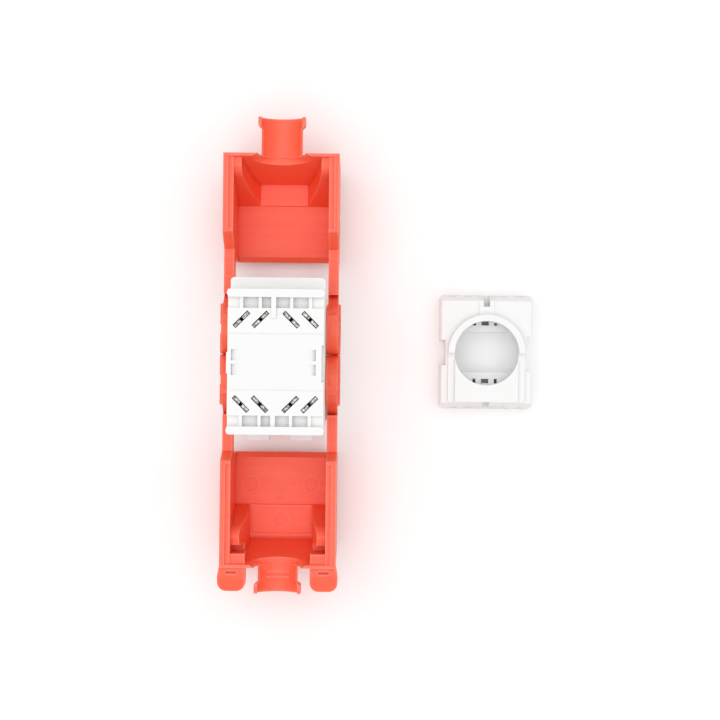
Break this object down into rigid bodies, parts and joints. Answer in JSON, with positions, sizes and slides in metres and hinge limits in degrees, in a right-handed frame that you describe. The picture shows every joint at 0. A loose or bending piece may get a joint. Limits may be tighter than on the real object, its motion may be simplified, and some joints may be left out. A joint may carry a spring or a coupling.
{
  "type": "keystone jack",
  "caption": "Toolless keystone jack standing on its port face, hinged covers folded out from the terminal block, wire organiser lying beside it.",
  "frame": {"origin": "centre of the plug port's mouth, on the plane of the port face that the jack stands on", "axes": "+Z from the port face to the cable side, +Y along the open covers towards the flexible latch, +X towards the wire organiser"},
  "size_m": [0.0457, 0.0686, 0.026],
  "materials": {
    "white_moulding": "satin white moulded plastic",
    "red_moulding": "satin coral red moulded plastic",
    "carrier_moulding": "matte white moulded plastic",
    "board": "green solder resist",
    "gold_plate": "gold plate",
    "tin_plate": "tin plate"
  },
  "bodies": {
    "jack": {"front_housing": "white_moulding", "idc_block": "white_moulding", "contact_carrier": "carrier_moulding", "circuit_board": "board", "jack_wire_1": "gold_plate", "jack_wire_2": "gold_plate", "jack_wire_3": "gold_plate", "jack_wire_4": "gold_plate", "jack_wire_5": "gold_plate", "jack_wire_6": "gold_plate", "jack_wire_7": "gold_plate", "jack_wire_8": "gold_plate", "idc_contact_1": "tin_plate", "idc_contact_2": "tin_plate", "idc_contact_3": "tin_plate", "idc_contact_4": "tin_plate", "idc_contact_5": "tin_plate", "idc_contact_6": "tin_plate", "idc_contact_7": "tin_plate", "idc_contact_8": "tin_plate", "wire_organiser": "white_moulding"},
    "upper_cover": {"upper_wing": "red_moulding"},
    "lower_cover": {"lower_wing": "red_moulding"}
  },
  "joints": [
    {"name": "upper_cover_hinge", "type": "hinge", "parent": "jack", "child": "upper_cover", "pos_m": [0, 0.0037, 0.0106], "axis": [1, 0, 0], "range_deg": [0, 90]},
    {"name": "lower_cover_hinge", "type": "hinge", "parent": "jack", "child": "lower_cover", "pos_m": [0, -0.0037, 0.0106], "axis": [-1, 0, 0], "range_deg": [0, 90]}
  ]
}
